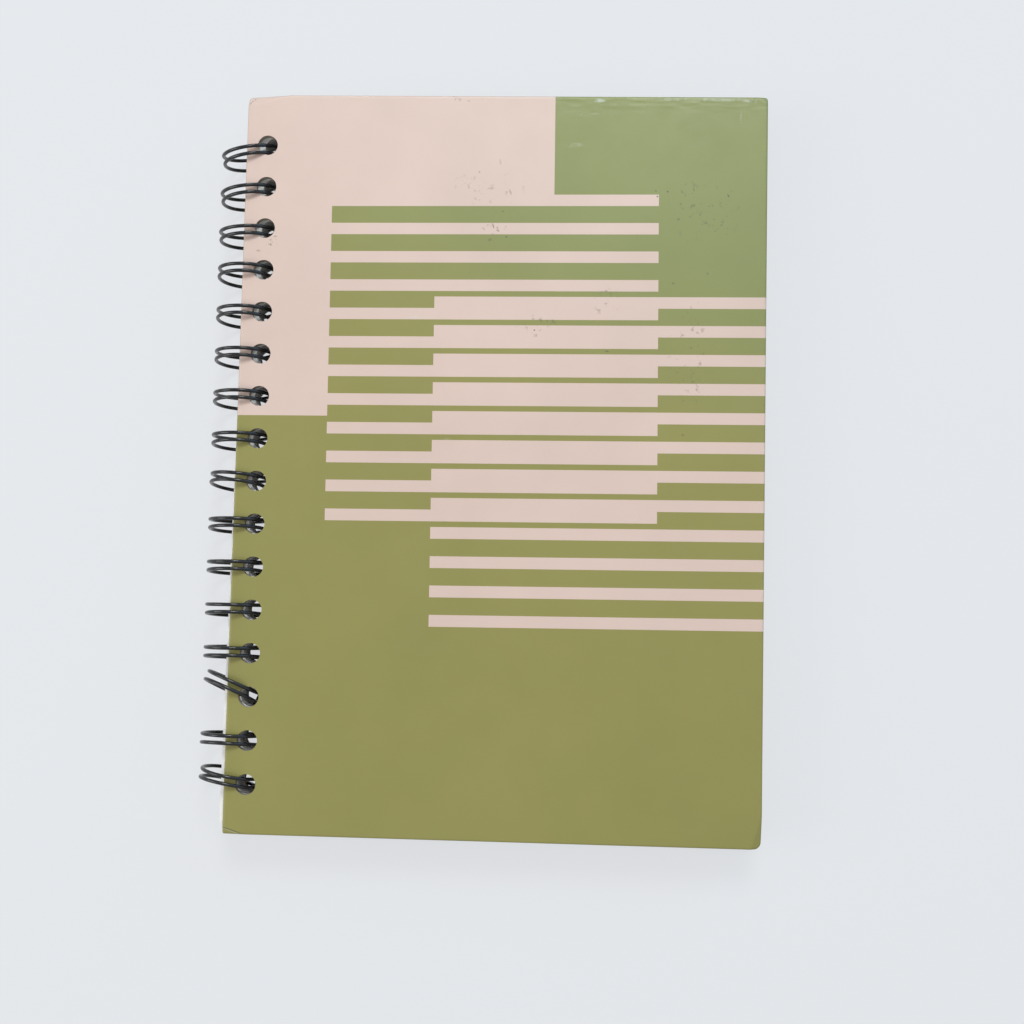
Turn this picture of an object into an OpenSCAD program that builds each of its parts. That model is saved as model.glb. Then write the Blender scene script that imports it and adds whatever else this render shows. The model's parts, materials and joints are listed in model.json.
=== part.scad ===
// Hardcover notebook bound with a twin-loop wire, lying on its back cover.
// X runs from the spine to the fore edge, Y up the page and Z up out of the front cover.

/* [Covers] */
// Width of a cover, from its spine edge to its fore edge
cover_w = 156; // [120:0.5:220]
// Height of a cover
cover_h = 220.5; // [150:0.5:300]
// Thickness of the board inside a cover
board_t = 1.8; // [1.2:0.1:2.4]
// Thickness of the covering paper
wrap_t = 0.2; // [0.15:0.01:0.3]
// Thickness of the endpaper
endpaper_t = 0.2; // [0.12:0.01:0.3]
// Width of covering paper left in sight round an endpaper
turn_in = 3; // [2:0.5:6]
// Radius of the covering paper where it turns over an edge
edge_r = 0.5; // [0.4:0.05:0.6]
// Corner radius at the spine
spine_corner_r = 1.2; // [1.2:0.1:4]
// Corner radius at the fore edge
fore_corner_r = 2; // [1.2:0.1:6]
// Gap between the two covers' spine edges when one is opened flat
cover_gap = 0.2; // [0.1:0.05:1]

/* [Leaves] */
// Thickness of the leaves together
leaves_t = 8.6; // [6.5:0.1:9.4]
// How far the covers stand out past the leaves at head and foot
head_overhang = 2.8; // [2:0.1:6]
// How far the covers stand out past the leaves at the fore edge
fore_overhang = 4.5; // [2:0.1:8]
// From the leaves' spine edge to the middle of their holes
leaves_margin = 8; // [6:0.1:8.4]
// How far the leaves' end holes have slipped sideways, one way at the head and the other at the foot
leaves_slip = 0.85; // [0:0.05:1]
// How far the leaves' holes hang back from the wire's outermost turn
leaves_lag = 0.8; // [0.6:0.05:1]
// How far from the spine the last leaves lift off the back cover, over the seam
lift_w = 30; // [20:1:50]

/* [Punching] */
// Diameter of the punched holes
hole_d = 6; // [5.6:0.1:7]
// Distance from hole to hole
hole_pitch = 12.7; // [10:0.1:16]
// Least distance from an end hole to the edge of the cover
hole_end_margin = 14; // [10:0.5:20]
// How far the row of holes sits off the cover's middle
hole_shift = -0.6; // [-2:0.1:2]
// How far a cover's holes lead the wire at the middle of its thickness
hole_lead = 0.2; // [0:0.05:0.4]

/* [Binding wire] */
// Diameter of the wire
wire_d = 1.1; // [0.8:0.05:1.2]
// Room for a prong beside its two wires in a hole
hole_play = 1.1; // [1:0.05:1.3]
// How far the middle of the wire stands off the covers' outer faces
ring_play = 1.8; // [1.7:0.05:2.1]
// Lean of each of a prong's two wires, wide at the back and narrow at the front
prong_splay = 2; // [0:0.5:2.5]
// Radius of the bend from a prong into the base
base_bend_r = 1; // [0.8:0.05:1.2]
// Gap between a prong's tip and the base
tip_gap = 0.3; // [0.2:0.05:0.6]
// Gap between the base and the paper on each side of it
seam_play = 0.1; // [0.08:0.01:0.3]
// Length of the wire's cut ends past the end prongs
wire_end = 1.6; // [0.5:0.1:3]

/* [Bent prongs] */
// How far the prongs at the foot are turned about their holes, from the foot up
foot_turns = [10.5, 0, 21.5];
// How far the prongs at the head are turned the other way, from the head down
head_turns = [10.5, 7.5, 4];
// How far a bent prong's turning line lies past the covers' holes
bend_line_past = 0.5; // [0.3:0.05:0.7]

/* [Print] */
// Depth that stands for the printed ink
ink_t = 0.08; // [0.04:0.01:0.12]
// Turn of the print on the cover
print_turn = 0.47; // [-1:0.01:1]
// Width of the plain pale field, from the spine edge
field_w = 93.7; // [60:0.1:120]
// Height of the plain pale field, from the head edge
field_h = 30.2; // [15:0.1:60]
// Width of the pale column down the spine
column_w = 27.1; // [15:0.1:50]
// Height of that column, from the head edge
column_h = 97; // [60:0.5:120]
// Height of a printed bar
bar_h = 3.46; // [2:0.01:5]
// Distance from bar to bar
bar_pitch = 8.58; // [7:0.01:12]
// Number of bars in each of the two groups
bars = 12; // [3:1:14]
// Where the first group of bars ends, from the spine edge
first_bars_end = 124.7; // [100:0.1:140]
// Where the second group of bars starts, from the spine edge
second_bars_start = 58.4; // [30:0.1:90]
// How many bars of the first group stand above the second group
bars_ahead = 4; // [0:1:8]

/* [Hidden] */
$fn = 48;
ring_fn = 128;
wire_fn = 32;
reach = 1;
knuckle = 0.035;
along_base = [80, 0, 0];

cover_t = board_t + wrap_t + endpaper_t;
face_z = leaves_t / 2;
stack_z = face_z + cover_t;
ring_r = stack_z + ring_play;
wire_r = wire_d / 2;

// Edges and holes, measured from the ring's axis
cover_x = cover_gap / 2;
hole_r = hole_d / 2;
// A tighter turn than this keeps paper over the board's sharp edge
edge_turn_r = min(edge_r, 3 * wrap_t);
cover_hole_x = sqrt(pow(ring_r, 2) - pow(face_z + cover_t / 2, 2)) + hole_lead;
leaves_hole_x = ring_r - leaves_lag;
leaves_x = leaves_hole_x - leaves_margin;
leaves_w = cover_x + cover_w - fore_overhang - leaves_x;
leaves_h = cover_h - 2 * head_overhang;

// The row of prongs, numbered from the foot
prongs = floor((cover_h - 2 * hole_end_margin) / hole_pitch) + 1;
function prong_y(i) = hole_shift + (i - (prongs + 1) / 2) * hole_pitch;
leaves_turn = atan(leaves_slip / (prong_y(prongs) - hole_shift));

// Seam: the base lies between the last leaf and the back cover, in a lift of this height
lift_t = wire_d + 2 * seam_play;
seam_z = lift_t / 2 - face_z;
wire_gap = hole_d - wire_d - 2 * hole_play;
base_reach = norm([ring_r, base_bend_r]);
base_at = asin(seam_z / base_reach) - atan(base_bend_r / ring_r);
function wire_y(at) = wire_gap / 2 - ring_r * sin(at) * sin(prong_splay);
function spread(at) = asin(cos(at) * sin(prong_splay));
function wire_xz(at) = ring_r * [cos(at), sin(at) * cos(prong_splay)];
function along(at) = [-sin(at), cos(at) * cos(prong_splay)] / cos(spread(at));
bend_y = wire_y(base_at) + base_bend_r * cos(spread(base_at));
base_xz = wire_xz(base_at) + base_bend_r * (1 + sin(spread(base_at))) * along(base_at);
tip_reach = wire_y(base_at) + base_bend_r + wire_d + tip_gap;
tip_at = base_at + 2 * asin(sqrt(pow(tip_reach, 2) - pow(bend_y, 2)) / (2 * ring_r));
bend_line_x = cover_hole_x + bend_line_past;
base_flat = hole_pitch / 2 - wire_d;

// The stretches at the foot and the head hold the bent prongs, and the one between them is straight
first_straight = len(foot_turns) + 1;
last_straight = prongs - len(head_turns);
function turn(i) = i < first_straight ? foot_turns[i - 1]
    : i > last_straight ? -head_turns[prongs - i]
    : 0;
// A place on the base beside prong i, turned with the prong
function turned(i, beside) = let (x = base_xz[0] - bend_line_x, at = turn(i))
    [bend_line_x + x * cos(at) + beside * sin(at), prong_y(i) + beside * cos(at) - x * sin(at)];
// Where the base runs straight again past a stretch's end prong, and where two stretches meet
function knee(i, side) = turn(i) == 0 ? [] : [[base_xz[0], prong_y(i) + side * base_flat]];
function meeting(i) = [base_xz[0], prong_y(i) + hole_pitch / 2];

// Places the model on its lowest point, in the middle of its own box
left_x = -ring_r - wire_r;
right_x = cover_x + cover_w;

module placed() {
    translate([-(left_x + right_x) / 2, 0, ring_r + wire_r]) children();
}

// Section of a slab's rounded edge, with its outer side at depth
module edge_section(depth, t, r) {
    square([depth - r, t]);
    translate([0, r]) square([depth, t - 2 * r]);
    for (z = [r, t - r]) translate([depth - r, z]) circle(r);
}

module slab_side(length, depth, t, r) {
    translate([0, length / 2, 0]) rotate([90, 0, 0]) linear_extrude(length) edge_section(depth, t, r);
}

// Corner of a slab, rounded by corner_r in a square of side band
module slab_corner(band, corner_r, t, r) {
    straight = band - corner_r;
    translate([straight, straight, 0]) rotate_extrude(angle = 90) edge_section(corner_r, t, r);
    if (straight > 0) {
        cube([straight, straight, t]);
        translate([straight, straight / 2, 0]) slab_side(straight, corner_r, t, r);
        translate([straight / 2, straight, 0]) rotate([0, 0, 90]) slab_side(straight, corner_r, t, r);
    }
}

// A cover's slab, made smaller all round by inset
module slab(inset = 0) {
    w = cover_w - 2 * inset;
    h = cover_h - 2 * inset;
    t = cover_t - 2 * inset;
    r = edge_turn_r - inset;
    spine_r = spine_corner_r - inset;
    fore_r = fore_corner_r - inset;
    band = max(spine_r, fore_r);
    translate([cover_x + inset, 0, face_z + inset]) {
        translate([band, band - h / 2, 0]) cube([w - 2 * band, h - 2 * band, t]);
        translate([w - band, 0, 0]) slab_side(h - 2 * band, band, t, r);
        translate([band, 0, 0]) mirror([1, 0, 0]) slab_side(h - 2 * band, band, t, r);
        for (end = [0, 1]) mirror([0, end, 0]) {
            translate([w / 2, h / 2 - band, 0]) rotate([0, 0, 90]) slab_side(w - 2 * band, band, t, r);
            translate([w - band, h / 2 - band, 0]) slab_corner(band, fore_r, t, r);
            translate([band, h / 2 - band, 0]) mirror([1, 0, 0]) slab_corner(band, spine_r, t, r);
        }
    }
}

module cover_holes() {
    for (i = [1 : prongs])
        translate([cover_hole_x, prong_y(i), face_z - reach]) cylinder(r = hole_r, h = cover_t + 2 * reach);
}

// The board stops short of the slab's faces by the papers that cover it
module board() {
    difference() {
        board_body();
        cover_holes();
    }
}

module board_body() {
    translate([cover_x + wrap_t, 0, face_z + endpaper_t]) linear_extrude(board_t) board_outline();
}

module board_outline() {
    w = cover_w - 2 * wrap_t;
    h = cover_h / 2 - wrap_t;
    spine_r = spine_corner_r - wrap_t;
    fore_r = fore_corner_r - wrap_t;
    translate([spine_r, -h]) square([w - spine_r - fore_r, 2 * h]);
    translate([0, spine_r - h]) square([spine_r, 2 * (h - spine_r)]);
    translate([w - fore_r, fore_r - h]) square([fore_r, 2 * (h - fore_r)]);
    for (side = [-1, 1]) {
        translate([spine_r, side * (h - spine_r)]) circle(spine_r);
        translate([w - fore_r, side * (h - fore_r)]) circle(fore_r);
    }
}

module endpaper_body() {
    translate([cover_x + turn_in, turn_in - cover_h / 2, face_z])
        cube([cover_w - 2 * turn_in, cover_h - 2 * turn_in, endpaper_t]);
}

module endpaper() {
    difference() {
        endpaper_body();
        cover_holes();
    }
}

module wrap() {
    difference() {
        slab();
        board_body();
        endpaper_body();
        cover_holes();
    }
}

// Pale fields of the print: a block at the head, a column down the spine and two groups of bars
module print_fields() {
    head = cover_h / 2;
    bars_top = head - field_h;
    margin = 2 * turn_in;
    translate([cover_x, 0]) translate([cover_w / 2, 0]) rotate(print_turn) translate([-cover_w / 2, 0]) {
        translate([-margin, bars_top]) square([field_w + margin, field_h + margin]);
        translate([-margin, head - column_h]) square([column_w + margin, column_h]);
        for (k = [0 : bars - 1]) {
            translate([column_w - wrap_t, bars_top - bar_h - k * bar_pitch])
                square([first_bars_end - column_w + wrap_t, bar_h]);
            translate([second_bars_start, bars_top - (k + bars_ahead) * bar_pitch - wrap_t])
                square([cover_w - second_bars_start + margin, bar_h + wrap_t]);
        }
    }
}

module print_body() {
    intersection() {
        difference() {
            slab();
            slab(ink_t);
            endpaper_body();
        }
        translate([0, 0, face_z - reach]) linear_extrude(cover_t + 2 * reach) print_fields();
    }
}

// One of a prong's two wires, from its tip round the ring to the base
module prong_wire(side) {
    translate([0, side * wire_gap / 2, 0]) rotate([side * prong_splay, 0, 0]) rotate([90, 0, 0])
        rotate([0, 0, tip_at]) rotate_extrude(angle = 360 + base_at - tip_at, $fn = ring_fn)
            translate([ring_r, 0]) circle(wire_r, $fn = wire_fn);
}

// Arc of wire of radius r, in the plane of Y and the ring's tangent at a point on the ring
module tangent_arc(at, r, centre_y, centre_along, from, to) {
    centre = wire_xz(at) + centre_along * along(at);
    translate([centre[0], centre_y, centre[1]]) rotate([0, -atan2(along(at)[1], along(at)[0]), 0])
        rotate([0, 0, from]) rotate_extrude(angle = to - from) translate([r, 0]) circle(wire_r, $fn = wire_fn);
}

// Rounds the join of two lengths of wire, with a ball whose axis lies near the wire's
module join(x, y, z, lie = [0, 0, 0]) {
    translate([x, y, z]) rotate(lie) sphere(wire_r + knuckle, $fn = wire_fn);
}

module prong() {
    tip_spread = spread(tip_at);
    tip_bend_r = wire_y(tip_at) / cos(tip_spread);
    base_spread = spread(base_at);
    tangent_arc(tip_at, tip_bend_r, 0, -tip_bend_r * sin(tip_spread), 90 - tip_spread, 270 + tip_spread);
    for (side = [-1, 1]) {
        prong_wire(side);
        for (at = [tip_at, base_at]) join(wire_xz(at)[0], side * wire_y(at), wire_xz(at)[1]);
        join(base_xz[0], side * bend_y, base_xz[1], along_base);
    }
    for (side = [0, 1]) mirror([0, side, 0])
        tangent_arc(base_at, base_bend_r, bend_y, base_bend_r * sin(base_spread), -90 - base_spread, 0);
}

// Base wire through a row of places in the plane of the seam
module base(places) {
    for (k = [1 : len(places) - 1]) {
        a = places[k - 1];
        b = places[k];
        translate([a[0], a[1], base_xz[1]]) rotate([-90, 0, atan2(b[1] - a[1], b[0] - a[0]) - 90])
            cylinder(r = wire_r, h = norm(b - a), $fn = wire_fn);
        if (k > 1) join(a[0], a[1], base_xz[1], along_base);
    }
}

// Base from prong i up to the next one, and from a stretch's end prong to the stretch's end
module base_between(i) {
    base([turned(i, bend_y), turned(i + 1, -bend_y)]);
}

module base_past(i, side) {
    cut = i == 1 && side < 0 || i == prongs && side > 0;
    end = cut ? [turned(i, side * (bend_y + wire_end))] : concat(knee(i, side), [meeting(side < 0 ? i - 1 : i)]);
    base(concat([turned(i, side * bend_y)], end));
}

// Prongs from one number to another, with their base
module stretch(from, to) {
    for (i = [from : to])
        translate([bend_line_x, prong_y(i), 0]) rotate([0, 0, -turn(i)]) translate([-bend_line_x, 0, 0]) prong();
    for (i = [from : to - 1]) base_between(i);
    base_past(from, -1);
    base_past(to, 1);
}

module front_board() {
    color("#b8b5ac") placed() board();
}

module front_wrap() {
    color("#93996a") placed() difference() {
        wrap();
        print_body();
    }
}

module front_print() {
    color("#dfcdc2") placed() difference() {
        print_body();
        cover_holes();
    }
}

module front_endpaper() {
    color("#ece8dc") placed() endpaper();
}

// The spine of the leaves is rounded to the circle that the covers swing round,
// and the last leaves lift off the back cover over the seam
module page_block() {
    room = seam_play / 2;
    color("#f1eee4") placed() difference() {
        intersection() {
            leaves();
            union() {
                rotate([90, 0, 0]) cylinder(r = face_z - room, h = cover_h, center = true);
                translate([0, -cover_h / 2, -face_z]) cube([cover_w, cover_h, leaves_t]);
            }
        }
        rotate([90, 0, 0]) linear_extrude(cover_h, center = true)
            polygon([[-face_z, -face_z - reach], [-face_z, lift_t - face_z],
                     [ring_r + wire_d + reach, lift_t - face_z], [lift_w, -face_z], [lift_w, -face_z - reach]]);
    }
}

module leaves() {
    translate([leaves_hole_x, hole_shift, 0]) rotate([0, 0, -leaves_turn]) translate([-leaves_hole_x, -hole_shift, 0])
        difference() {
            translate([leaves_x, -leaves_h / 2, -face_z]) cube([leaves_w, leaves_h, leaves_t]);
            for (i = [1 : prongs])
                translate([leaves_hole_x, prong_y(i), 0]) cylinder(r = hole_r, h = leaves_t + 2 * reach, center = true);
        }
}

module back_endpaper() {
    color("#ece8dc") placed() mirror([0, 0, 1]) endpaper();
}

module back_board() {
    color("#b8b5ac") placed() mirror([0, 0, 1]) board();
}

module back_wrap() {
    color("#93996a") placed() mirror([0, 0, 1]) wrap();
}

module binding_wire() {
    color("#1b1c1e") placed() stretch(first_straight, last_straight);
}

module bent_prongs() {
    color("#1b1c1e") placed() {
        stretch(1, first_straight - 1);
        stretch(last_straight + 1, prongs);
    }
}

front_board();
front_wrap();
front_print();
front_endpaper();
page_block();
back_endpaper();
back_board();
back_wrap();
binding_wire();
bent_prongs();
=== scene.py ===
import json
import math

import bmesh
import bpy
from bpy.props import FloatProperty, FloatVectorProperty, IntProperty, PointerProperty
from mathutils import Matrix, Vector, noise


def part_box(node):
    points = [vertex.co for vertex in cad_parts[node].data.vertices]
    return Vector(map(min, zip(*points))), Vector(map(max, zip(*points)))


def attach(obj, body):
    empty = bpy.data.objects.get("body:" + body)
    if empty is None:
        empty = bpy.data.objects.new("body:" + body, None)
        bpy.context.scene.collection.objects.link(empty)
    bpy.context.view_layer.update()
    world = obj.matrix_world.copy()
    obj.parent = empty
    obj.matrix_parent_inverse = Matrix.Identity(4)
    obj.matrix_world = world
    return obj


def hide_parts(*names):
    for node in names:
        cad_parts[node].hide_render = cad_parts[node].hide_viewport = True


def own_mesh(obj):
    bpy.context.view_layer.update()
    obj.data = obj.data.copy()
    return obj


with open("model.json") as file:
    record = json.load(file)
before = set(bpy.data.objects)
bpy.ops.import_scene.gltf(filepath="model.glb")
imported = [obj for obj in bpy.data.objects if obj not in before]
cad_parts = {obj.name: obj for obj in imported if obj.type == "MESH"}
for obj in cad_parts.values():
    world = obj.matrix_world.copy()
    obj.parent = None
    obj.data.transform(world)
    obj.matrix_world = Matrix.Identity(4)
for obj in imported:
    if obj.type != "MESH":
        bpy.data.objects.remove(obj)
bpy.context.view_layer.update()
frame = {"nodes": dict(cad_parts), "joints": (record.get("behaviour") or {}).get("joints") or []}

bl_info = {
    "name": "Twin-loop notebook",
    "version": (1, 0, 0),
    "blender": (4, 5, 0),
    "location": "View3D > Sidebar > Notebook",
    "description": "Covers, leaves and binding wire of a hardcover notebook",
    "category": "Object",
}

MM = 0.001
NEAR = 1e-6

# Places that the frame gives: the covers' layers, the leaves and the ring's axis
WRAP_LOW, WRAP_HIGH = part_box("front_wrap")
BOARD_LOW, BOARD_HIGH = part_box("front_board")
PASTE_LOW, PASTE_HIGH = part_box("front_endpaper")
LEAVES_LOW, LEAVES_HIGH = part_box("page_block")
RING_AXIS = Vector(frame["joints"][0]["pos_m"])
COVER_MIDDLE = (WRAP_LOW + WRAP_HIGH) / 2
COVER_SIZE = WRAP_HIGH - WRAP_LOW
STACK_HALF = WRAP_LOW.z - RING_AXIS.z


def linear(hex_colour):
    """sRGB hex to the linear values that Blender's shaders take."""
    parts = [int(hex_colour[i:i + 2], 16) / 255 for i in (1, 3, 5)]
    curve = [p / 12.92 if p <= 0.04045 else ((p + 0.055) / 1.055) ** 2.4 for p in parts]
    return (*curve, 1.0)


def length(name, description, value_mm):
    return FloatProperty(name=name, description=description, default=value_mm * MM,
                         unit="LENGTH", precision=5, min=0.0)


def turn(name, description, degrees):
    return FloatProperty(name=name, description=description, default=math.radians(degrees),
                         unit="ROTATION", subtype="ANGLE")


def colour(name, description, hex_colour):
    return FloatVectorProperty(name=name, description=description, subtype="COLOR", size=4,
                               min=0.0, max=1.0, default=linear(hex_colour))


class CoverSettings(bpy.types.PropertyGroup):
    """Sizes of a cover, its punching and its wear."""

    turn_r: length("Turned edge", "Radius of the covering paper over the board's edge", 0.5)
    head_spine_r: length("Head spine corner", "Radius of the worn corner at the head of the spine", 1.0)
    foot_spine_r: length("Foot spine corner", "Radius of the corner at the foot of the spine", 0.45)
    head_fore_r: length("Head fore corner", "Radius of the corner at the head of the fore edge", 0.9)
    foot_fore_r: length("Foot fore corner", "Radius of the worn corner at the foot of the fore edge", 2.0)
    hole_d: length("Hole", "Diameter of a punched hole", 6.0)
    hole_pitch: length("Hole pitch", "Distance from hole to hole", 12.7)
    hole_inset: length("Hole inset", "From the spine edge to the middle of a hole", 6.403)
    hole_shift: FloatProperty(name="Hole shift", description="How far the holes' row sits above the middle",
                              default=-0.6 * MM, unit="LENGTH", precision=5)
    holes: IntProperty(name="Holes", description="Number of punched holes", default=16, min=4)
    grid_step: length("Grid step", "Spacing of the mesh lines over the cover", 1.6)
    fine_step: length("Fine step", "Spacing of the mesh lines by the edges", 0.5)
    fine_reach: length("Fine reach", "How far in from the edges the fine lines run", 5.0)


class PrintSettings(bpy.types.PropertyGroup):
    """Colours and layout of the printed covering paper."""

    olive: colour("Ground", "Colour of the covering paper", "#918B4D")
    # Painted sheen: a cooler, greener ground toward the head and fore edge, and how far it runs down
    olive_sheen: colour("Ground at the head", "Colour of the covering paper where it has faded", "#888D54")
    fade: length("Fade", "How far the faded ground runs down from the head", 95.0)
    pale: colour("Pale fields", "Colour of the printed fields and bars", "#D9BFB2")
    turn: turn("Turn", "Turn of the print on the cover", 0.47)
    field_w: length("Field width", "Width of the plain pale field", 93.7)
    field_h: length("Field height", "Height of the plain pale field", 30.2)
    column_w: length("Column width", "Width of the pale column down the spine", 27.1)
    column_h: length("Column height", "Height of that column", 97.0)
    bar_h: length("Bar height", "Height of a printed bar", 3.46)
    bar_pitch: length("Bar pitch", "Distance from bar to bar", 8.58)
    bars: IntProperty(name="Bars", description="Bars in each group", default=12, min=1)
    bars_ahead: IntProperty(name="Bars ahead", description="Bars above the second group", default=4, min=0)
    first_bars_end: length("First bars' end", "From the spine edge to the first bars' end", 124.7)
    second_bars_start: length("Second bars' start", "From the spine edge to the second bars' start", 58.4)


class WireSettings(bpy.types.PropertyGroup):
    """Sizes of the twin-loop wire."""

    wire_d: length("Wire", "Diameter of the wire", 1.1)
    hole_play: length("Hole play", "Room beside a prong's two wires in a hole", 1.1)
    splay: turn("Splay", "Lean of each of a prong's two wires", 2.0)
    base_bend_r: length("Base bend", "Radius of the bend from a prong into the base", 1.0)
    tip_gap: length("Tip gap", "Gap between a prong's tip and the base", 0.3)
    seam_play: length("Seam play", "Gap between the base and the paper on each side", 0.1)
    wire_end: length("Cut end", "Length of the cut end past the last prong", 1.6)
    bend_line_past: length("Bend line", "From the covers' holes to a bent prong's turning line", 0.5)
    lean: turn("Lean", "Lean of the straight prongs, whose base hangs toward the foot", 2.5)
    colour: colour("Wire colour", "Colour of the wire's coating", "#0F0F11")


class LeavesSettings(bpy.types.PropertyGroup):
    """Looks of the leaves' edges."""

    strata: IntProperty(name="Strata", description="Visible layers in the leaves' edges", default=52, min=4)
    raggedness: length("Raggedness", "How far the layers' edges stand back", 0.12)
    colour: colour("Paper", "Colour of the leaves", "#ECEAE8")


class StageSettings(bpy.types.PropertyGroup):
    """Camera, floor and lights."""

    lens: FloatProperty(name="Lens", description="Focal length on a 36 mm sensor", default=45.7, min=1.0)
    camera_place: FloatVectorProperty(name="Camera place", description="Where the camera stands",
                                      default=(0.0261, -0.04084, 0.39507), subtype="TRANSLATION", size=3)
    camera_turn: FloatVectorProperty(
        name="Camera turn", description="How the camera is turned", subtype="EULER", size=3,
        default=(math.radians(3.9806), math.radians(2.4983), math.radians(1.2578)))
    floor: colour("Floor", "Colour of the floor", "#E4E6E9")


class NotebookSettings(bpy.types.PropertyGroup):
    """All sizes and colours of the notebook."""

    cover: PointerProperty(type=CoverSettings)
    print: PointerProperty(type=PrintSettings)
    wire: PointerProperty(type=WireSettings)
    leaves: PointerProperty(type=LeavesSettings)
    stage: PointerProperty(type=StageSettings)


def add(tree, kind, inputs=None, **settings):
    """Adds a node, sets its properties, and fills its sockets with values or with other sockets."""
    made = tree.nodes.new(kind)
    for name, value in settings.items():
        setattr(made, name, value)
    for socket, value in (inputs or {}).items():
        if isinstance(value, bpy.types.NodeSocket):
            tree.links.new(value, made.inputs[socket])
        else:
            made.inputs[socket].default_value = value
    return made


def new_material(name):
    """An empty node material with a Principled shader, and its tree and shader."""
    material = bpy.data.materials.new(name)
    material.use_nodes = True
    tree = material.node_tree
    tree.nodes.clear()
    shader = add(tree, "ShaderNodeBsdfPrincipled")
    add(tree, "ShaderNodeOutputMaterial", {"Surface": shader.outputs[0]})
    return material, tree, shader


def math_of(tree, operation, a, b=0.0):
    """The result of a Math node on two values or sockets."""
    return add(tree, "ShaderNodeMath", {0: a, 1: b}, operation=operation).outputs[0]


def within(tree, value, low, high):
    """1 where low < value < high, and 0 elsewhere."""
    above = math_of(tree, "GREATER_THAN", value, low)
    below = math_of(tree, "LESS_THAN", value, high)
    return math_of(tree, "MULTIPLY", above, below)


# Painted sheen: the ground turns cooler and greener toward the head, and a little toward the fore edge
SHEEN_TOWARD = (0.35, 1.0, 0.0)


def print_mask(tree, place, p):
    """1 on the print's pale fields and bars, measured from the middle of the cover."""
    upright = add(tree, "ShaderNodeMapping", {"Vector": place, "Location": COVER_MIDDLE,
                                              "Rotation": (0, 0, p.turn)}, vector_type="TEXTURE")
    split = add(tree, "ShaderNodeSeparateXYZ", {0: upright.outputs[0]})
    across, up = split.outputs[0], split.outputs[1]
    spine = -COVER_SIZE.x / 2
    head = COVER_SIZE.y / 2
    far = COVER_SIZE.y
    bars_top = head - p.field_h
    second_top = bars_top - p.bars_ahead * p.bar_pitch + p.bar_h
    rows = p.bars * p.bar_pitch

    def field(x0, x1, y0, y1):
        return math_of(tree, "MULTIPLY", within(tree, across, x0, x1), within(tree, up, y0, y1))

    def bars(x0, x1, top):
        down = math_of(tree, "SUBTRACT", top, up)
        step = math_of(tree, "MODULO", down, p.bar_pitch)
        bar = math_of(tree, "LESS_THAN", step, p.bar_h)
        return math_of(tree, "MULTIPLY", bar, field(x0, x1, top - rows, top))

    mask = field(-far, spine + p.field_w, bars_top, far)
    for part in (field(-far, spine + p.column_w, head - p.column_h, far),
                 bars(spine + p.column_w, spine + p.first_bars_end, bars_top),
                 bars(spine + p.second_bars_start, far, second_top)):
        mask = math_of(tree, "MAXIMUM", mask, part)
    return mask


# Marks on the front cover, with wear and painted light: middle from the spine and foot edges, half-sizes in
# mm, turn in degrees, strength
SPECKLED = (
    (74, 193, 14, 8, 0, 0.3), (77, 181, 8, 5, 0, 0.5), (90, 151, 6, 5, 0, 0.5), (109, 158, 5, 6, 0, 0.5),
    (137, 186, 14, 12, 0, 0.6), (134, 143, 8, 20, 0, 0.45), (64, 219.6, 9, 1.2, 0, 0.6),
    (8.7, 174.5, 2, 4, 0, 0.7),
)
MARKS = (
    (126.6, 191.6, 0.4, 0.35, 0, 0.9), (123.6, 190.1, 0.35, 0.4, 0, 0.8), (123.1, 191.8, 0.4, 0.3, 0, 0.7),
    (144.5, 190.5, 0.3, 0.7, 30, 0.8), (134.3, 192.4, 0.4, 1.1, 10, 0.35),
    (133.7, 187.2, 0.4, 1.0, -20, 0.4),
    (130.8, 191.6, 0.4, 0.8, 15, 0.35), (142.6, 181.6, 0.5, 0.4, 0, 0.4), (128.6, 164, 0.6, 0.4, 0, 0.5),
    (138.7, 167, 0.4, 0.5, 30, 0.4), (75, 180.8, 0.25, 1.1, 15, 0.7), (79.9, 191.1, 0.4, 1.2, 25, 0.35),
    (70.5, 197.1, 0.35, 0.4, 0, 0.4), (79, 177.5, 0.35, 0.35, 0, 0.8), (74.1, 176.6, 0.8, 0.6, 20, 0.4),
    (77.8, 185.2, 0.6, 0.3, 0, 0.5), (76.7, 200.3, 0.4, 1.2, 10, 0.2), (87.9, 149.5, 0.35, 0.3, 0, 0.8),
    (109.4, 143.5, 0.8, 0.22, -5, 0.8), (137.3, 150.1, 0.6, 0.9, 0, 0.3), (134.1, 144.8, 0.5, 0.4, 0, 0.4),
    (1.2, 218.6, 0.25, 0.4, 0, 0.55), (0.75, 217.9, 0.25, 0.7, -25, 0.55), (1.9, 219.2, 0.3, 0.3, 0, 0.5),
    (4.6, 172.6, 0.9, 0.4, 0, 0.35), (9.6, 177.0, 0.7, 0.35, 0, 0.4), (132, 119, 0.6, 0.5, 0, 0.4),
)
# The first three rows, along the head edge, are painted highlight on the turned edge; the others are scuffs
# of wear
SCUFFS_AND_HIGHLIGHTS = (
    (136, 219.6, 22, 0.7, 0, 0.45), (151, 219.2, 3.5, 0.7, 0, 0.7), (105.5, 219.2, 3, 0.8, 0, 0.65),
    (98, 205.5, 4.5, 0.9, 3, 0.3), (103, 215, 5, 0.5, 4, 0.25), (148, 213, 0.5, 4, 0, 0.25),
    (55, 153, 6, 0.8, 0, 0.25), (63, 116.5, 4, 0.7, 0, 0.2), (123, 72, 1, 0.6, 0, 0.35),
)
# Painted shade along the crease of the bent corner at the foot of the spine, and painted highlight beside
# it
CREASE_SHADE = ((2.6, 1.3, 4.8, 0.2, -17, 0.8),)
CREASE_HIGHLIGHT = ((2.9, 0.85, 3.6, 0.15, -17, 0.35),)


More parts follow.
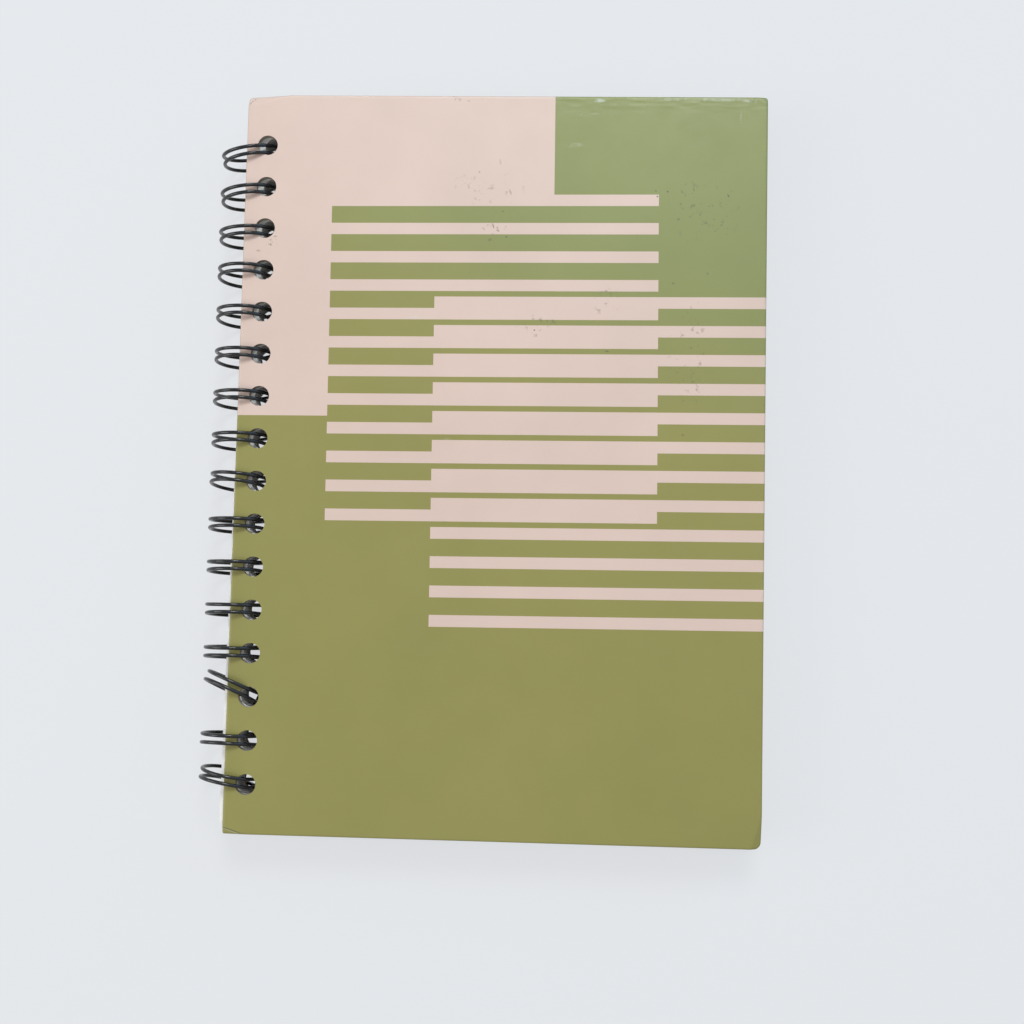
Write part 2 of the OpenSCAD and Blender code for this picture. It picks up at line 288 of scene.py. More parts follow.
def spots(tree, place, rows):
    """Soft-edged ellipses on the front cover, 1 times their strength in the middle and 0 past the rim."""
    total = 0.0
    for across, up, half_across, half_up, degrees, strength in rows:
        middle = (WRAP_LOW.x + across * MM, WRAP_LOW.y + up * MM, WRAP_HIGH.z)
        inside = add(tree, "ShaderNodeMapping", {"Vector": place, "Location": middle,
                                                 "Rotation": (0, 0, math.radians(degrees)),
                                                 "Scale": (half_across * MM, half_up * MM, 1.0)},
                     vector_type="TEXTURE")
        far = add(tree, "ShaderNodeVectorMath", {0: inside.outputs[0]}, operation="LENGTH")
        spot = add(tree, "ShaderNodeMapRange", {"Value": far.outputs["Value"], "From Min": 1.0,
                                                "From Max": 0.4, "To Min": 0.0, "To Max": strength},
                   interpolation_type="SMOOTHSTEP").outputs[0]
        total = math_of(tree, "MAXIMUM", spot, total)
    return total


def laminate(name, printed):
    """Offset-printed paper under a matt film: the print's ink, a faint mottle, wear, painted sheen toward
    the head, painted highlights and shade on the edges and crease, and a soft sheen from its roughness.
    """
    p = bpy.context.scene.notebook.print
    material, tree, shader = new_material(name)
    where = add(tree, "ShaderNodeTexCoord")
    place = where.outputs["Object"]
    cloud = add(tree, "ShaderNodeTexNoise", {"Vector": place, "Scale": 35.0, "Detail": 4.0})
    grain = add(tree, "ShaderNodeTexNoise", {"Vector": place, "Scale": 2600.0, "Detail": 2.0})
    scuff = add(tree, "ShaderNodeTexNoise", {"Vector": place, "Scale": 160.0, "Detail": 6.0,
                                             "Roughness": 0.7})
    ground = p.olive
    if printed:
        # Painted sheen: the ground is mixed toward its cooler, greener tint toward the head and fore edge
        toward = add(tree, "ShaderNodeVectorMath", {0: place, 1: SHEEN_TOWARD}, operation="DOT_PRODUCT")
        painted_sheen = add(tree, "ShaderNodeMapRange", {"Value": toward.outputs["Value"],
                                                 "From Min": WRAP_HIGH.y - p.fade,
                                                 "From Max": WRAP_HIGH.y - p.fade / 4},
                    interpolation_type="SMOOTHSTEP").outputs[0]
        ground = add(tree, "ShaderNodeMix", {"Factor": painted_sheen, "A": p.olive, "B": p.olive_sheen},
                     data_type="RGBA").outputs["Result"]
    olive = add(tree, "ShaderNodeHueSaturation", {"Color": ground})
    pale = add(tree, "ShaderNodeHueSaturation", {"Color": p.pale})
    mottle = add(tree, "ShaderNodeMapRange", {"Value": cloud.outputs[0], "From Min": 0.3, "From Max": 0.7,
                                              "To Min": 0.965, "To Max": 1.035})
    for ink in (olive, pale):
        tree.links.new(mottle.outputs[0], ink.inputs["Value"])
    mask = print_mask(tree, place, p) if printed else 0.0
    ink = add(tree, "ShaderNodeMix", {"Factor": mask, "A": olive.outputs[0], "B": pale.outputs[0]},
              data_type="RGBA").outputs["Result"]
    if printed:
        specks = add(tree, "ShaderNodeTexNoise", {"Vector": place, "Scale": 620.0, "Detail": 3.0,
                                                  "Roughness": 0.6})
        sparse = add(tree, "ShaderNodeMapRange", {"Value": specks.outputs[0], "From Min": 0.6,
                                                  "From Max": 0.7})
        # Dark specks and marks of dirt, and painted shade along the corner's crease
        soil_and_crease_shade = math_of(tree, "MULTIPLY", spots(tree, place, SPECKLED), sparse.outputs[0])
        for rows in (MARKS, CREASE_SHADE):
            soil_and_crease_shade = math_of(tree, "MAXIMUM", soil_and_crease_shade, spots(tree, place, rows))
        # Whitish scuffs of wear, painted highlight along the head edge, and painted highlight beside the
        # crease
        worn = add(tree, "ShaderNodeMapRange", {"Value": scuff.outputs[0], "From Min": 0.46,
                                                "From Max": 0.62})
        rubbed_and_highlit = math_of(tree, "MULTIPLY", spots(tree, place, SCUFFS_AND_HIGHLIGHTS), worn.outputs[0])
        rubbed_and_highlit = math_of(tree, "MAXIMUM", rubbed_and_highlit, spots(tree, place, CREASE_HIGHLIGHT))
        ink = add(tree, "ShaderNodeMix", {"Factor": soil_and_crease_shade, "A": ink, "B": linear("#5A574C")},
                  data_type="RGBA").outputs["Result"]
        ink = add(tree, "ShaderNodeMix", {"Factor": rubbed_and_highlit, "A": ink, "B": linear("#CFD2C4")},
                  data_type="RGBA").outputs["Result"]
    # Painted shade: faces that lean away from upright, on the turned edges and in the holes, are mixed
    # toward a dark olive
    upright = add(tree, "ShaderNodeSeparateXYZ", {0: where.outputs["Normal"]})
    level = math_of(tree, "ABSOLUTE", upright.outputs[2])
    edge_shade = add(tree, "ShaderNodeMapRange", {"Value": level, "From Min": 0.55, "From Max": 0.9,
                                               "To Min": 0.5, "To Max": 0.0}).outputs[0]
    ink = add(tree, "ShaderNodeMix", {"Factor": edge_shade, "A": ink, "B": linear("#55583A")},
              data_type="RGBA").outputs["Result"]
    tree.links.new(ink, shader.inputs["Base Color"])
    gloss = add(tree, "ShaderNodeMapRange", {"Value": scuff.outputs[0], "From Min": 0.35, "From Max": 0.75,
                                             "To Min": 0.36, "To Max": 0.5})
    tree.links.new(gloss.outputs[0], shader.inputs["Roughness"])
    bump = add(tree, "ShaderNodeBump", {"Height": grain.outputs[0], "Strength": 0.06,
                                        "Distance": 0.02 * MM})
    tree.links.new(bump.outputs[0], shader.inputs["Normal"])
    shader.inputs["IOR"].default_value = 1.5
    return material


def greyboard():
    """Raw grey bookbinder's board: matt recycled fibre, speckled."""
    material, tree, shader = new_material("greyboard")
    place = add(tree, "ShaderNodeTexCoord").outputs["Object"]
    fibre = add(tree, "ShaderNodeTexNoise", {"Vector": place, "Scale": 2200.0, "Detail": 6.0})
    tone = add(tree, "ShaderNodeMix", {"Factor": fibre.outputs[0], "A": linear("#857B6E"),
                                       "B": linear("#BFB6A8")}, data_type="RGBA")
    tree.links.new(tone.outputs["Result"], shader.inputs["Base Color"])
    bump = add(tree, "ShaderNodeBump", {"Height": fibre.outputs[0], "Strength": 0.5, "Distance": 0.1 * MM})
    tree.links.new(bump.outputs[0], shader.inputs["Normal"])
    shader.inputs["Roughness"].default_value = 0.95
    return material


def uncoated_paper(name, shade, layered):
    """Uncoated writing paper: matt, faintly fibrous, with fine dark lines of painted shade between leaves
    on the edges.
    """
    material, tree, shader = new_material(name)
    where = add(tree, "ShaderNodeTexCoord")
    place = where.outputs["Object"]
    fibre = add(tree, "ShaderNodeTexNoise", {"Vector": place, "Scale": 900.0, "Detail": 5.0})
    value = add(tree, "ShaderNodeMapRange", {"Value": fibre.outputs[0], "From Min": 0.3, "From Max": 0.7,
                                             "To Min": 0.96, "To Max": 1.02}).outputs[0]
    if layered:
        # Painted shade between leaves: real leaves are 0.1 mm apart, too fine to show, so the lines are
        # drawn about 0.3 mm apart
        flat = add(tree, "ShaderNodeMapping", {"Vector": place, "Scale": (40.0, 40.0, 3300.0)})
        lines = add(tree, "ShaderNodeTexNoise", {"Vector": flat.outputs[0], "Scale": 1.0, "Detail": 3.0})
        dark = add(tree, "ShaderNodeMapRange", {"Value": lines.outputs[0], "From Min": 0.35,
                                                "From Max": 0.6, "To Min": 0.86, "To Max": 1.0})
        facing = add(tree, "ShaderNodeSeparateXYZ", {0: where.outputs["Normal"]})
        level = math_of(tree, "GREATER_THAN", math_of(tree, "ABSOLUTE", facing.outputs[2]), 0.9)
        edge = math_of(tree, "MAXIMUM", dark.outputs[0], level)
        value = math_of(tree, "MULTIPLY", value, edge)
    tone = add(tree, "ShaderNodeHueSaturation", {"Color": shade, "Value": value})
    tree.links.new(tone.outputs[0], shader.inputs["Base Color"])
    bump = add(tree, "ShaderNodeBump", {"Height": fibre.outputs[0], "Strength": 0.25,
                                        "Distance": 0.03 * MM})
    tree.links.new(bump.outputs[0], shader.inputs["Normal"])
    shader.inputs["Roughness"].default_value = 0.9
    return material


def coated_wire():
    """Steel wire in a black nylon coat: nearly black, satin, with a thin highlight along each turn."""
    shade = bpy.context.scene.notebook.wire.colour
    material, tree, shader = new_material("black_coated_wire")
    place = add(tree, "ShaderNodeTexCoord").outputs["Object"]
    wear = add(tree, "ShaderNodeTexNoise", {"Vector": place, "Scale": 700.0, "Detail": 4.0})
    tone = add(tree, "ShaderNodeMix", {"Factor": wear.outputs[0], "A": shade, "B": linear("#1D1E20")},
               data_type="RGBA")
    gloss = add(tree, "ShaderNodeMapRange", {"Value": wear.outputs[0], "From Min": 0.3, "From Max": 0.7,
                                             "To Min": 0.16, "To Max": 0.3})
    bump = add(tree, "ShaderNodeBump", {"Height": wear.outputs[0], "Strength": 0.15, "Distance": 0.03 * MM})
    tree.links.new(tone.outputs["Result"], shader.inputs["Base Color"])
    tree.links.new(gloss.outputs[0], shader.inputs["Roughness"])
    tree.links.new(bump.outputs[0], shader.inputs["Normal"])
    shader.inputs["IOR"].default_value = 1.55
    return material


def backdrop():
    """Pale seamless floor: a plain matt surface that shows white to the camera and keeps the shadow."""
    material, tree, shader = new_material("pale_floor")
    shade = bpy.context.scene.notebook.stage.floor
    shader.inputs["Base Color"].default_value = shade
    shader.inputs["Roughness"].default_value = 0.9
    glow = add(tree, "ShaderNodeEmission", {"Color": shade, "Strength": 1.0})
    ray = add(tree, "ShaderNodeLightPath")
    seen = math_of(tree, "MAXIMUM", ray.outputs["Is Camera Ray"], ray.outputs["Is Glossy Ray"])
    seen = math_of(tree, "MAXIMUM", seen, ray.outputs["Is Transmission Ray"])
    share = math_of(tree, "MULTIPLY", seen, 0.8)
    mixed = add(tree, "ShaderNodeMixShader", {0: share, 1: shader.outputs[0], 2: glow.outputs[0]})
    out = next(n for n in tree.nodes if n.bl_idname == "ShaderNodeOutputMaterial")
    tree.links.new(mixed.outputs[0], out.inputs["Surface"])
    return material


def finish_piece(name, bm, material, body, replaces=(), smooth_below=35.0):
    """Makes an object of the mesh, shades it, ties it to its body, and hides the nodes it stands for."""
    mesh = bpy.data.meshes.new(name)
    bm.to_mesh(mesh)
    bm.free()
    piece = bpy.data.objects.new(name, mesh)
    bpy.context.scene.collection.objects.link(piece)
    mesh.materials.append(material)
    mesh.shade_smooth()
    mesh.set_sharp_from_angle(angle=math.radians(smooth_below))
    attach(piece, body)
    if replaces:
        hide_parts(*replaces)
    return piece


def dress(node, material):
    """Gives a CAD node its material."""
    mesh = frame["nodes"][node].data
    mesh.materials.clear()
    mesh.materials.append(material)


def cut(bm, tools):
    """The mesh with each tool's mesh taken out of it."""
    def as_object(mesh_data):
        mesh = bpy.data.meshes.new("cutting")
        mesh_data.to_mesh(mesh)
        mesh_data.free()
        made = bpy.data.objects.new("cutting", mesh)
        bpy.context.scene.collection.objects.link(made)
        return made

    body = as_object(bm)
    cutters = [as_object(t) for t in tools]
    for cutter in cutters:
        body.modifiers.new("cut", "BOOLEAN")
        body.modifiers[-1].operation = "DIFFERENCE"
        body.modifiers[-1].solver = "EXACT"
        body.modifiers[-1].object = cutter
    graph = bpy.context.evaluated_depsgraph_get()
    result = bmesh.new()
    result.from_object(body, graph)
    for made in [body, *cutters]:
        mesh = made.data
        bpy.data.objects.remove(made)
        bpy.data.meshes.remove(mesh)
    return result


def block(low, high):
    """A plain box between two corners."""
    bm = bmesh.new()
    place = Matrix.Translation((low + high) / 2) @ Matrix.Diagonal((*(high - low), 1.0))
    bmesh.ops.create_cube(bm, size=1.0, matrix=place)
    return bm


def rounded_slab(low, high, settings, inset, turn_r=0):
    """A slab with worn round corners in plan and, where turn_r is set, rounded edges."""
    bm = block(low, high)

    def round_off(edges, radius, segments):
        bmesh.ops.bevel(bm, geom=edges, offset=radius, offset_type="OFFSET", segments=segments,
                        profile=0.5, affect="EDGES", material=-1, clamp_overlap=False)

    for x, y, radius in ((low.x, high.y, settings.head_spine_r), (low.x, low.y, settings.foot_spine_r),
                         (high.x, high.y, settings.head_fore_r), (high.x, low.y, settings.foot_fore_r)):
        posts = [e for e in bm.edges
                 if all(abs(v.co.x - x) < NEAR and abs(v.co.y - y) < NEAR for v in e.verts)]
        round_off(posts, radius - inset, 8)
    if turn_r:
        rim = [e for e in bm.edges
               if abs(e.verts[0].co.z - e.verts[1].co.z) < NEAR
               and any(abs(f.normal.z) < 0.5 for f in e.link_faces)]
        round_off(rim, turn_r, 4)
    return bm


def lay_lines(bm, low, high, settings):
    """Cuts mesh lines across a slab, closer together by its edges."""
    for axis in (0, 1):
        size = high[axis] - low[axis]
        count = round(size / settings.grid_step)
        places = {i * size / count for i in range(1, count)}
        steps = round(settings.fine_reach / settings.fine_step)
        for i in range(1, steps + 1):
            places |= {i * settings.fine_step, size - i * settings.fine_step}
        normal = Vector((axis == 0, axis == 1, 0))
        for place in sorted(places):
            bmesh.ops.bisect_plane(bm, geom=bm.verts[:] + bm.edges[:] + bm.faces[:], dist=NEAR,
                                   plane_co=low + normal * place, plane_no=normal)


def hole_places(settings):
    """Middles of the covers' holes along Y, from the foot up."""
    first = settings.hole_shift - (settings.holes - 1) / 2 * settings.hole_pitch
    return [first + i * settings.hole_pitch for i in range(settings.holes)]


def hole_punches(settings, low_z, high_z):
    """A row of cylinders that cut the covers' holes."""
    bm = bmesh.new()
    for y in hole_places(settings):
        place = Matrix.Translation((WRAP_LOW.x + settings.hole_inset, y, (low_z + high_z) / 2))
        bmesh.ops.create_cone(bm, cap_ends=True, cap_tris=False, segments=48, radius1=settings.hole_d / 2,
                              radius2=settings.hole_d / 2, depth=high_z - low_z, matrix=place)
    return bm


# Corners that are bent back: toward +X and +Y from the middle, how far along each edge the crease
# starts in mm, and how far the corner is turned down
BENT_CORNERS = ((-1, -1, 6.5, 2.3, 12.0), (-1, 1, 14.0, 3.2, 28.0), (1, 1, 3.0, 2.4, 10.0),
                (1, -1, 3.4, 9.5, 20.0))


def bend_corners(co):
    """Turns a point down past the creases of the cover's bent corners."""
    moved = co.copy()
    for side_x, side_y, along_x, along_y, degrees in BENT_CORNERS:
        corner = Vector((COVER_MIDDLE.x + side_x * COVER_SIZE.x / 2,
                         COVER_MIDDLE.y + side_y * COVER_SIZE.y / 2))
        inset = Vector(((corner.x - co.x) * side_x, (corner.y - co.y) * side_y))
        share = 1 - inset.x / (along_x * MM) - inset.y / (along_y * MM)
        if share <= 0:
            continue
        depth = along_x * along_y * MM / math.hypot(along_x, along_y)
        past = share * depth
        swing = math.radians(degrees) * min(1.0, past / (0.5 * MM))
        moved.z -= past * math.sin(swing)
        back = Vector((side_x * along_y, side_y * along_x)).normalized() * past * (1 - math.cos(swing))
        moved.x -= back.x
        moved.y -= back.y
    return moved


def scuff_height(co):
    """Height of the paper's dents and of the wrinkles along the head edge, in metres."""
    swell = noise.noise(co * 28.0) * 0.05 + noise.noise(co * 90.0) * 0.018
    head_gap = (WRAP_HIGH.y - co.y) / MM
    across = (co.x - WRAP_LOW.x) / MM
    reach = max(0.0, 1 - head_gap / 7) * min(1.0, max(0.0, (across - 85) / 15))
    ridge = noise.noise(Vector((co.x * 330.0, co.y * 900.0, 4.0)))
    return (swell + reach * ridge * 0.11) * MM


def front_layers(settings):
    """The front cover's paper and board, as one shape that is worn together."""
    thin = Vector((0, 0, 0.1 * MM))
    wrap = rounded_slab(WRAP_LOW, WRAP_HIGH, settings, 0, settings.turn_r)
    lay_lines(wrap, WRAP_LOW, WRAP_HIGH, settings)
    wrap_t = BOARD_LOW.x - WRAP_LOW.x
    hollow = rounded_slab(BOARD_LOW, BOARD_HIGH, settings, wrap_t)
    recess = block(PASTE_LOW - thin, PASTE_HIGH + thin / 2)
    reach = 1 * MM
    wrap = cut(wrap, [hollow, recess, hole_punches(settings, WRAP_LOW.z - reach, WRAP_HIGH.z + reach)])
    board = rounded_slab(BOARD_LOW, BOARD_HIGH, settings, wrap_t)
    lay_lines(board, BOARD_LOW, BOARD_HIGH, settings)
    board = cut(board, [hole_punches(settings, WRAP_LOW.z - reach, WRAP_HIGH.z + reach)])
    return wrap, board


class NOTEBOOK_OT_front_cover(bpy.types.Operator):
    """Front cover: printed covering paper with bent corners, over its board"""

    bl_idname = "notebook.front_cover"
    bl_label = "Front cover"

    def execute(self, context):
        settings = context.scene.notebook.cover
        wrap, board = front_layers(settings)
        for v in wrap.verts:
            if v.co.z > BOARD_HIGH.z + NEAR:
                v.co.z += scuff_height(v.co)
            v.co = bend_corners(v.co)
        for v in board.verts:
            v.co = bend_corners(v.co)
        finish_piece("front_covering_paper", wrap, laminate("printed_matt_laminate", True), "front_cover",
                     ("front_wrap", "front_print"))
        finish_piece("front_greyboard", board, greyboard(), "front_cover", ("front_board",))
        dress("front_endpaper", uncoated_paper("cream_endpaper", linear("#EAE5D8"), False))
        return {"FINISHED"}


class NOTEBOOK_OT_back_cover(bpy.types.Operator):
    """Back cover: plain covering paper over its board"""

    bl_idname = "notebook.back_cover"
    bl_label = "Back cover"

    def execute(self, context):
        settings = context.scene.notebook.cover
        wrap, board = front_layers(settings)
        board.free()
        for v in wrap.verts:
            if v.co.z > BOARD_HIGH.z + NEAR:
                v.co.z += scuff_height(v.co + Vector((0, 0, 1))) * 0.5
            v.co.z = 2 * RING_AXIS.z - v.co.z
        bmesh.ops.reverse_faces(wrap, faces=wrap.faces)
        finish_piece("back_covering_paper", wrap, laminate("plain_matt_laminate", False), "back_cover",
                     ("back_wrap",))
        dress("back_board", bpy.data.materials["greyboard"])
        dress("back_endpaper", bpy.data.materials["cream_endpaper"])
        return {"FINISHED"}


class NOTEBOOK_OT_leaves(bpy.types.Operator):
    """Leaves: the block of pages, with uneven layers at its edges"""

    bl_idname = "notebook.leaves"
    bl_label = "Leaves"

    def execute(self, context):
        settings = context.scene.notebook.leaves
        bm = bmesh.new()
        bm.from_mesh(frame["nodes"]["page_block"].data)
        bmesh.ops.remove_doubles(bm, verts=bm.verts, dist=NEAR)
        height = LEAVES_HIGH.z - LEAVES_LOW.z
        for i in range(1, settings.strata):
            level = Vector((0, 0, LEAVES_LOW.z + i * height / settings.strata))
            bmesh.ops.bisect_plane(bm, geom=bm.verts[:] + bm.edges[:] + bm.faces[:], dist=NEAR,
                                   plane_co=level, plane_no=Vector((0, 0, 1)))
        bm.normal_update()
        moves = []
        for v in bm.verts:
            if abs(v.normal.z) > 0.2 or min(abs(v.co.z - LEAVES_LOW.z), abs(v.co.z - LEAVES_HIGH.z)) < NEAR:
                continue
            layer = round((v.co.z - LEAVES_LOW.z) / height * settings.strata)
            back = 0.5 + 0.5 * noise.noise(Vector((layer * 7.31, v.co.x * 9.0, v.co.y * 9.0)))
            moves.append((v, v.normal * settings.raggedness * back))
        for v, step in moves:
            v.co -= step
        paper = uncoated_paper("uncoated_leaves", settings.colour, True)
        finish_piece("leaves", bm, paper, "leaves_and_wire", ("page_block",), 20.0)
        return {"FINISHED"}


class RingShape:
    """The wire's centre line, worked out as for the CAD wire, in metres from the ring's axis."""

    def __init__(self, settings, cover):
        self.wire_r = settings.wire_d / 2
        self.ring_r = RING_AXIS.z - self.wire_r
        self.splay = settings.splay
        self.bend_r = settings.base_bend_r
        self.half_gap = (cover.hole_d - settings.wire_d - 2 * settings.hole_play) / 2
        lift = settings.wire_d + 2 * settings.seam_play
        seam_z = lift / 2 - STACK_HALF
        reach = math.hypot(self.ring_r, self.bend_r)
        self.base_at = math.asin(seam_z / reach) - math.atan(self.bend_r / self.ring_r)
        spread = self.spread(self.base_at)
        self.bend_y = self.wire_y(self.base_at) + self.bend_r * math.cos(spread)
        past_bend = self.bend_r * (1 + math.sin(spread))
        self.base = self.on_ring(self.base_at) + past_bend * self.along(self.base_at)
        tip_reach = self.wire_y(self.base_at) + self.bend_r + settings.wire_d + settings.tip_gap
        across = math.sqrt(tip_reach ** 2 - self.bend_y ** 2)
        self.tip_at = self.base_at + 2 * math.asin(across / (2 * self.ring_r))
        self.pitch = cover.hole_pitch
        self.bend_line_x = WRAP_LOW.x + cover.hole_inset + settings.bend_line_past

    def wire_y(self, at):
        return self.half_gap - self.ring_r * math.sin(at) * math.sin(self.splay)

    def spread(self, at):
        return math.asin(math.cos(at) * math.sin(self.splay))

    def on_ring(self, at):
        return self.ring_r * Vector((math.cos(at), 0, math.sin(at) * math.cos(self.splay)))

    def along(self, at):
        return Vector((-math.sin(at), 0, math.cos(at) * math.cos(self.splay))) / math.cos(self.spread(at))


def wire_arc(bm, middle, first, second, radius, wire_r, start, end):
    """Spins a round section about middle, in the plane of first and second, between two angles."""
    axis = first.cross(second)
    out = first * math.cos(start) + second * math.sin(start)
    place = Matrix.Translation(middle + out * radius)
    place @= Matrix((out, axis, out.cross(axis))).transposed().to_4x4()
    ring = bmesh.ops.create_circle(bm, cap_ends=False, segments=12, radius=wire_r, matrix=place)["verts"]
    edges = list({e for v in ring for e in v.link_edges})
    steps = max(3, math.ceil(abs(end - start) / math.radians(7.5 if radius > 3 * MM else 15)))
    bmesh.ops.spin(bm, geom=edges, cent=middle, axis=axis, angle=end - start, steps=steps, use_merge=False)


def wire_rods(bm, places, wire_r):
    """Straight wire through a row of places, rounded where it bends."""
    for a, b in zip(places, places[1:]):
        turned = (b - a).to_track_quat("Z", "Y").to_matrix().to_4x4()
        bmesh.ops.create_cone(bm, cap_ends=True, cap_tris=False, segments=12, radius1=wire_r,
                              radius2=wire_r, depth=(b - a).length,
                              matrix=Matrix.Translation((a + b) / 2) @ turned)
    for bend in places[1:-1]:
        bmesh.ops.create_uvsphere(bm, u_segments=12, v_segments=8, radius=wire_r,
                                  matrix=Matrix.Translation(bend))


def prong(bm, shape, place):
    """One prong: two wires round the ring, the tip between them and the bends into the base."""
    up = Vector((0, 1, 0))
    made = bmesh.new()
    for side in (-1, 1):
        lean = Matrix.Rotation(side * shape.splay, 3, "X")
        first, second = lean @ Vector((1, 0, 0)), lean @ Vector((0, 0, 1))
        wire_arc(made, up * side * shape.half_gap, first, second, shape.ring_r, shape.wire_r,
                 shape.tip_at, 2 * math.pi + shape.base_at)
    spread = shape.spread(shape.tip_at)
    tip_r = shape.wire_y(shape.tip_at) / math.cos(spread)
    along = shape.along(shape.tip_at)
    wire_arc(made, shape.on_ring(shape.tip_at) - along * tip_r * math.sin(spread), along, up, tip_r,
             shape.wire_r, math.pi / 2 - spread, 3 * math.pi / 2 + spread)
    spread = shape.spread(shape.base_at)
    along = shape.along(shape.base_at)
    for side in (-1, 1):
        middle = shape.on_ring(shape.base_at) + along * shape.bend_r * math.sin(spread)
        middle += up * side * shape.bend_y
        wire_arc(made, middle, along, up * side, shape.bend_r, shape.wire_r, -math.pi / 2 - spread, 0)
    bmesh.ops.remove_doubles(made, verts=made.verts, dist=0.02 * MM)
    bmesh.ops.holes_fill(made, edges=[e for e in made.edges if e.is_boundary], sides=0)
    bmesh.ops.recalc_face_normals(made, faces=made.faces)
    made.transform(place)
    mesh = bpy.data.meshes.new("prong")
    made.to_mesh(mesh)
    made.free()
    bm.from_mesh(mesh)
    bpy.data.meshes.remove(mesh)


# Prongs out of line, counted from the foot: turn about the hole and lean in degrees, shift in mm
BENT_PRONGS = {1: (10.3, 2.0, 0.1), 2: (1.6, 4.4, -0.1), 3: (22.5, 9.6, 0.6), 8: (3.9, 5.6, 0.4),
               14: (-3.9, -1.2, -0.4), 15: (-7.5, -1.0, -0.3), 16: (-10.3, -4.4, -0.7)}
# Those at the wire's ends, each made as a piece of its own: the share of their width they keep
END_PRONGS = {1: 0.38, 2: 0.65, 3: 0.3, 14: 0.6, 15: 0.5, 16: 0.4}


class ProngRow:
    """Where each prong of the wire stands, and where its base starts and ends."""

    def __init__(self, settings):
        self.shape = RingShape(settings.wire, settings.cover)
        self.rows = hole_places(settings.cover)
        self.lean = settings.wire.lean
        self.wire_end = settings.wire.wire_end

    def place(self, number):
        """Turns a prong about its hole, leans it, and moves it to its place in the row."""
        turned, lean, shift = BENT_PRONGS.get(number, (0, 0, 0))
        pivot_z = (WRAP_LOW.z + WRAP_HIGH.z) / 2
        if number not in BENT_PRONGS:
            lean, pivot_z = math.degrees(self.lean), RING_AXIS.z
        line = Vector((self.shape.bend_line_x, 0, pivot_z))
        row = Matrix.Translation((0, self.rows[number - 1] + shift * MM, 0)) @ Matrix.Translation(line)
        row @= Matrix.Rotation(-math.radians(turned), 4, "Z") @ Matrix.Rotation(-math.radians(lean), 4, "X")
        return row @ Matrix.Translation(RING_AXIS - line)

    def base_end(self, number, side, past=0.0):
        """Where the base leaves a prong, toward the foot or the head, or a place further along."""
        return self.place(number) @ (self.shape.base + Vector((0, side * (self.shape.bend_y + past), 0)))

    def meeting(self, number):
        """Where the base wires of a prong and the next one meet."""
        return RING_AXIS + self.shape.base + Vector((0, self.rows[number - 1] + self.shape.pitch / 2, 0))

    def base(self, bm, number):
        """The base on both sides of a prong, half-way to its neighbours or to the wire's cut ends."""
        for side in (-1, 1):
            start = self.base_end(number, side)
            last = number == (1 if side < 0 else len(self.rows))
            end = self.base_end(number, side, self.wire_end) if last \
                else self.meeting(number - 1 if side < 0 else number)
            wire_rods(bm, [start, end], self.shape.wire_r)
            # Balls round the kinks: one where the base leaves the prong, and one where two bases meet
            for ball in [start] if last or side < 0 else [start, end]:
                bmesh.ops.create_uvsphere(bm, u_segments=12, v_segments=8, radius=self.shape.wire_r,
                                          matrix=Matrix.Translation(ball))


class NOTEBOOK_OT_binding_wire(bpy.types.Operator):
    """Binding wire: the middle row of twin-loop prongs and the base that joins them"""

    bl_idname = "notebook.binding_wire"
    bl_label = "Binding wire"

    def execute(self, context):
        row = ProngRow(context.scene.notebook)
        bm = bmesh.new()
        for number in range(1, len(row.rows) + 1):
            if number not in END_PRONGS:
                prong(bm, row.shape, row.place(number))
                row.base(bm, number)
        finish_piece("twin_loop_wire", bm, coated_wire(), "leaves_and_wire", ("binding_wire",),
                     60.0)
        return {"FINISHED"}


class NOTEBOOK_OT_bent_prongs(bpy.types.Operator):
    """Bent prongs: those at the wire's ends, each made as a piece of its own"""

    bl_idname = "notebook.bent_prongs"
    bl_label = "Bent prongs"

    def execute(self, context):
        row = ProngRow(context.scene.notebook)
        for number, keep in END_PRONGS.items():
            bm = bmesh.new()
            prong(bm, row.shape, row.place(number))
            row.base(bm, number)
            piece = finish_piece(f"bent_loop_{number}", bm, bpy.data.materials["black_coated_wire"],
                                 "leaves_and_wire", ("bent_prongs",), 60.0)
            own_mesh(piece)
        return {"FINISHED"}


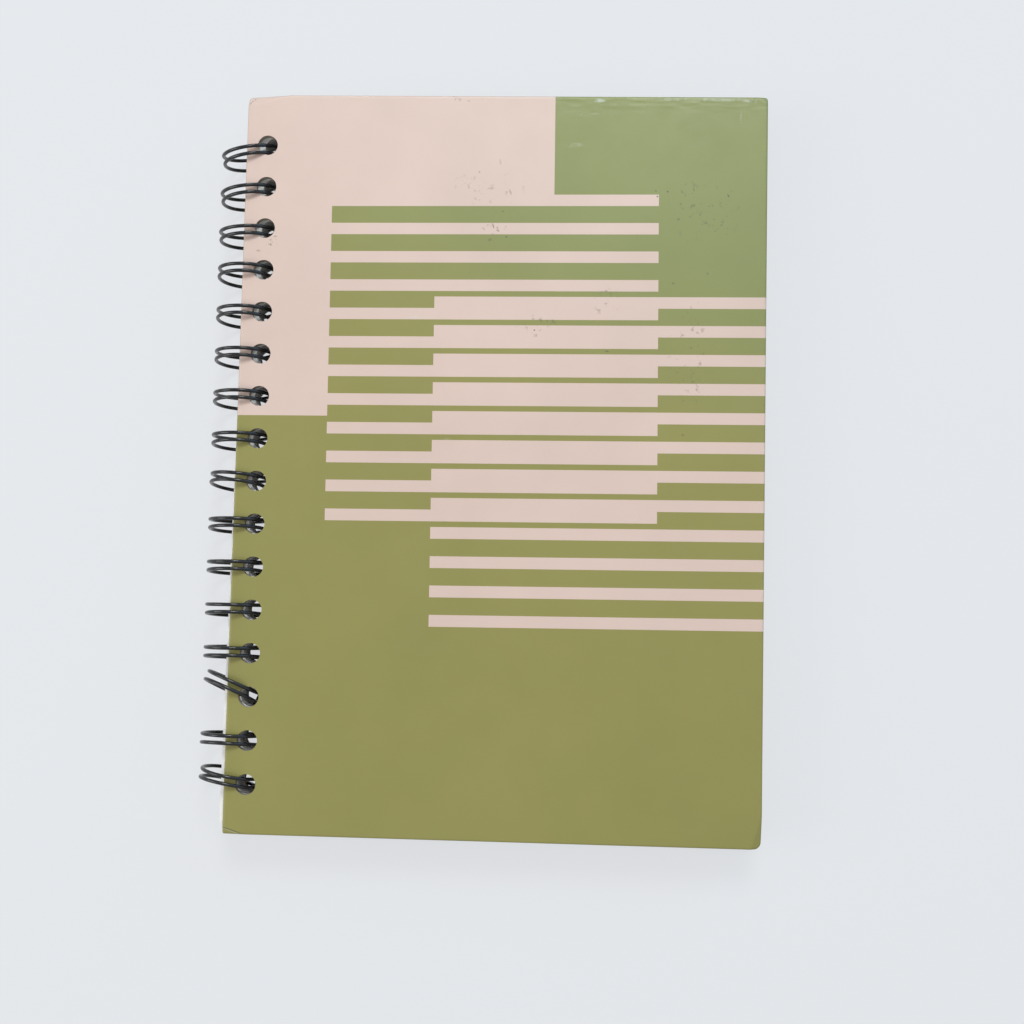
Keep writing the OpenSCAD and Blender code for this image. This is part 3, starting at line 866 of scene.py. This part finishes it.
class NOTEBOOK_OT_stage(bpy.types.Operator):
    """Stage: the floor, the lights and the camera"""

    bl_idname = "notebook.stage"
    bl_label = "Stage"

    def execute(self, context):
        settings = context.scene.notebook.stage
        scene = context.scene
        bm = bmesh.new()
        bmesh.ops.create_grid(bm, x_segments=1, y_segments=1, size=3.0)
        mesh = bpy.data.meshes.new("floor")
        bm.to_mesh(mesh)
        bm.free()
        floor = bpy.data.objects.new("floor", mesh)
        scene.collection.objects.link(floor)
        mesh.materials.append(backdrop())

        camera = bpy.data.objects.new("camera", bpy.data.cameras.new("camera"))
        scene.collection.objects.link(camera)
        camera.data.lens = settings.lens
        camera.data.sensor_width = 36.0
        camera.data.clip_start = 0.01
        camera.location = settings.camera_place
        camera.rotation_euler = settings.camera_turn
        scene.camera = camera

        def lamp(name, place, aim, size, power, shade="#FFFFFF"):
            light = bpy.data.objects.new(name, bpy.data.lights.new(name, "AREA"))
            light.data.shape = "DISK"
            light.data.size = size
            light.data.energy = power
            light.data.color = linear(shade)[:3]
            light.location = place
            light.rotation_euler = (Vector(place) - Vector(aim)).to_track_quat("Z", "Y").to_euler()
            scene.collection.objects.link(light)

        lamp("key", (0.14, 1.05, 1.33), (0, 0, 0), 0.63, 13.3, "#F9FFFC")
        lamp("sheen", (0.75, 0.7, 0.5), (0.05, 0.08, 0), 0.6, 2.6, "#78C4FF")
        lamp("fill", (-0.8, -0.1, 0.5), (-0.07, 0, 0), 0.6, 3.0)

        world = bpy.data.worlds.new("soft_room")
        world.use_nodes = True
        ground = next(n for n in world.node_tree.nodes if n.bl_idname == "ShaderNodeBackground")
        ground.inputs["Color"].default_value = linear("#F4F6F8")
        ground.inputs["Strength"].default_value = 0.56
        scene.world = world
        scene.view_settings.view_transform = "Standard"
        return {"FINISHED"}


class NOTEBOOK_PT_panel(bpy.types.Panel):
    """Lists the notebook's pieces."""

    bl_idname = "NOTEBOOK_PT_panel"
    bl_label = "Notebook"
    bl_space_type = "VIEW_3D"
    bl_region_type = "UI"
    bl_category = "Notebook"

    def draw(self, context):
        for step in STEPS:
            self.layout.operator(step.bl_idname)


SETTINGS = (CoverSettings, PrintSettings, WireSettings, LeavesSettings, StageSettings, NotebookSettings)
STEPS = (NOTEBOOK_OT_front_cover, NOTEBOOK_OT_back_cover, NOTEBOOK_OT_leaves, NOTEBOOK_OT_binding_wire,
         NOTEBOOK_OT_bent_prongs, NOTEBOOK_OT_stage)


def register():
    for kind in (*SETTINGS, *STEPS, NOTEBOOK_PT_panel):
        bpy.utils.register_class(kind)
    bpy.types.Scene.notebook = PointerProperty(type=NotebookSettings)


def unregister():
    del bpy.types.Scene.notebook
    for kind in reversed((*SETTINGS, *STEPS, NOTEBOOK_PT_panel)):
        bpy.utils.unregister_class(kind)


def main():
    register()
    bpy.ops.notebook.front_cover()
    bpy.ops.notebook.back_cover()
    bpy.ops.notebook.leaves()
    bpy.ops.notebook.binding_wire()
    bpy.ops.notebook.bent_prongs()
    bpy.ops.notebook.stage()


if __name__ == "__main__":
    main()
